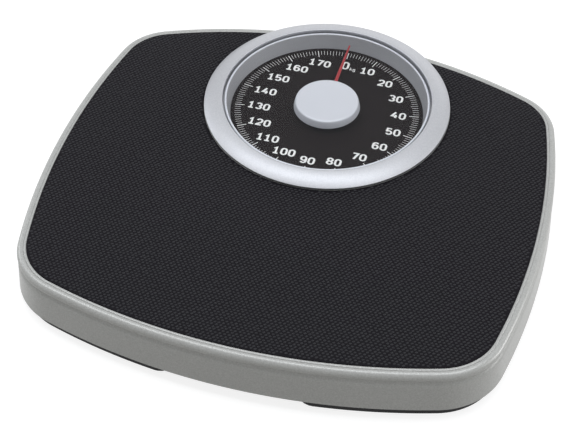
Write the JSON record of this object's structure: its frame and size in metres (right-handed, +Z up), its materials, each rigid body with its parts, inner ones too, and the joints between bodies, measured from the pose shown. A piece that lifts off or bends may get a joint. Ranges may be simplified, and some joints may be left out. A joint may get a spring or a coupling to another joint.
{
  "type": "mechanical bathroom scale",
  "caption": "Mechanical bathroom scale: bowed steel platform with a grained mat, large round dial, lever linkage, main spring, crank, rack and pinion, turning needle.",
  "frame": {"origin": "on the floor under the middle of the scale's box", "axes": "+Z up, -Y towards the person standing on it, +X to that person's right when they face +Y and the dial"},
  "size_m": [0.3948, 0.3729, 0.0544],
  "materials": {
    "tray_steel": "grey baked paint, satin",
    "foot_rubber": "matt black moulded rubber",
    "zinc_steel": "zinc-plated pressed steel",
    "bright_steel": "bright drawn steel",
    "lever_steel": "cold-rolled steel bar",
    "brass": "plain turned brass",
    "black_plastic": "matt moulded plastic",
    "needle_red": "satin red",
    "silver_plastic": "silver satin lacquer with a cool tint",
    "cover_paint": "silver-grey baked enamel, satin",
    "mat_rubber": "charcoal vinyl with fine raised grains in slanting rows",
    "well_plastic": "satin grey plastic with a bright lip",
    "dial_black": "matt black with white printed figures",
    "clear_plastic": "clear and polished"
  },
  "bodies": {
    "base": {"base_tray": "tray_steel", "foot_front_left": "foot_rubber", "foot_front_right": "foot_rubber", "foot_rear_left": "foot_rubber", "foot_rear_right": "foot_rubber", "foot_screws": "zinc_steel", "fulcrum_bracket_front_left": "zinc_steel", "fulcrum_bracket_front_right": "zinc_steel", "fulcrum_bracket_rear_left": "zinc_steel", "fulcrum_bracket_rear_right": "zinc_steel", "bracket_rivets": "zinc_steel", "mechanism_frame": "zinc_steel", "crank_pin": "bright_steel", "spindle_bush_upper": "brass", "spindle_bush_lower": "brass", "rack_guide": "brass", "rack_spring_post": "bright_steel", "rack_spring": "bright_steel", "main_spring": "bright_steel", "zero_bracket": "zinc_steel"},
    "zero_screw_body": {"zero_wheel": "black_plastic", "zero_screw": "bright_steel"},
    "long_lever_left_body": {"long_lever_left": "lever_steel", "long_lever_pins_left": "bright_steel"},
    "long_lever_right_body": {"long_lever_right": "lever_steel", "long_lever_pins_right": "bright_steel"},
    "short_lever_left_body": {"short_lever_left": "lever_steel", "short_lever_pins_left": "bright_steel"},
    "short_lever_right_body": {"short_lever_right": "lever_steel", "short_lever_pins_right": "bright_steel"},
    "nose_plate_body": {"nose_plate": "zinc_steel"},
    "bell_crank_body": {"bell_crank": "zinc_steel"},
    "rack_body": {"rack": "brass"},
    "pointer": {"pinion": "brass", "spindle": "bright_steel", "needle": "needle_red", "hub_cap": "silver_plastic"},
    "platform": {"platform_cover": "cover_paint", "platform_mat": "mat_rubber", "load_yoke_front_left": "zinc_steel", "load_yoke_front_right": "zinc_steel", "load_yoke_rear_left": "zinc_steel", "load_yoke_rear_right": "zinc_steel", "dial_bezel": "silver_plastic", "dial_well": "well_plastic", "dial_plate": "dial_black", "dial_lens": "clear_plastic", "well_screws": "zinc_steel"}
  },
  "joints": [
    {"name": "pointer_turn", "type": "hinge", "parent": "base", "child": "pointer", "pos_m": [0, 0.0865, 0.0388], "axis": [0, 0, -1], "range_deg": [0, 360], "stiffness_Nm_per_rad": 0.0224, "springref_deg": -8.59},
    {"name": "platform_sink", "type": "slide", "parent": "base", "child": "platform", "axis": [0, 0, 1], "range_m": [-0.0005, 0]},
    {"name": "long_lever_left_swing", "type": "hinge", "parent": "base", "child": "long_lever_left_body", "pos_m": [-0.145, -0.138, 0.024], "axis": [1, 0, 0], "range_deg": [-2.29, 0]},
    {"name": "long_lever_right_swing", "type": "hinge", "parent": "base", "child": "long_lever_right_body", "pos_m": [0.145, -0.138, 0.024], "axis": [1, 0, 0], "range_deg": [-2.29, 0]},
    {"name": "short_lever_left_swing", "type": "hinge", "parent": "base", "child": "short_lever_left_body", "pos_m": [-0.14, 0.11, 0.024], "axis": [1, 0, 0], "range_deg": [0, 2.29]},
    {"name": "short_lever_right_swing", "type": "hinge", "parent": "base", "child": "short_lever_right_body", "pos_m": [0.14, 0.11, 0.024], "axis": [1, 0, 0], "range_deg": [0, 2.29]},
    {"name": "nose_plate_sink", "type": "slide", "parent": "base", "child": "nose_plate_body", "axis": [0, 0, 1], "range_m": [-0.008, 0], "deforming": ["main_spring"]},
    {"name": "bell_crank_turn", "type": "hinge", "parent": "base", "child": "bell_crank_body", "pos_m": [0.012, 0.074, 0.015], "axis": [1, 0, 0], "range_deg": [0, 38.2]},
    {"name": "rack_slide", "type": "slide", "parent": "base", "child": "rack_body", "axis": [0, 1, 0], "range_m": [-0.01257, 0], "deforming": ["rack_spring"]},
    {"name": "zero_wheel_turn", "type": "hinge", "parent": "base", "child": "zero_screw_body", "pos_m": [-0.014, 0.151, 0.0115], "axis": [0, 1, 0], "range_deg": [-360, 360]}
  ],
  "couplings": [
    {"joint": "pointer_turn", "follows": "platform_sink", "rad_per_m": -12566},
    {"joint": "long_lever_left_swing", "follows": "platform_sink", "rad_per_m": 80},
    {"joint": "long_lever_right_swing", "follows": "platform_sink", "rad_per_m": 80},
    {"joint": "short_lever_left_swing", "follows": "platform_sink", "rad_per_m": -80},
    {"joint": "short_lever_right_swing", "follows": "platform_sink", "rad_per_m": -80},
    {"joint": "nose_plate_sink", "follows": "platform_sink", "ratio": 16},
    {"joint": "bell_crank_turn", "follows": "platform_sink", "rad_per_m": -1333.3},
    {"joint": "rack_slide", "follows": "platform_sink", "ratio": 25.133}
  ]
}
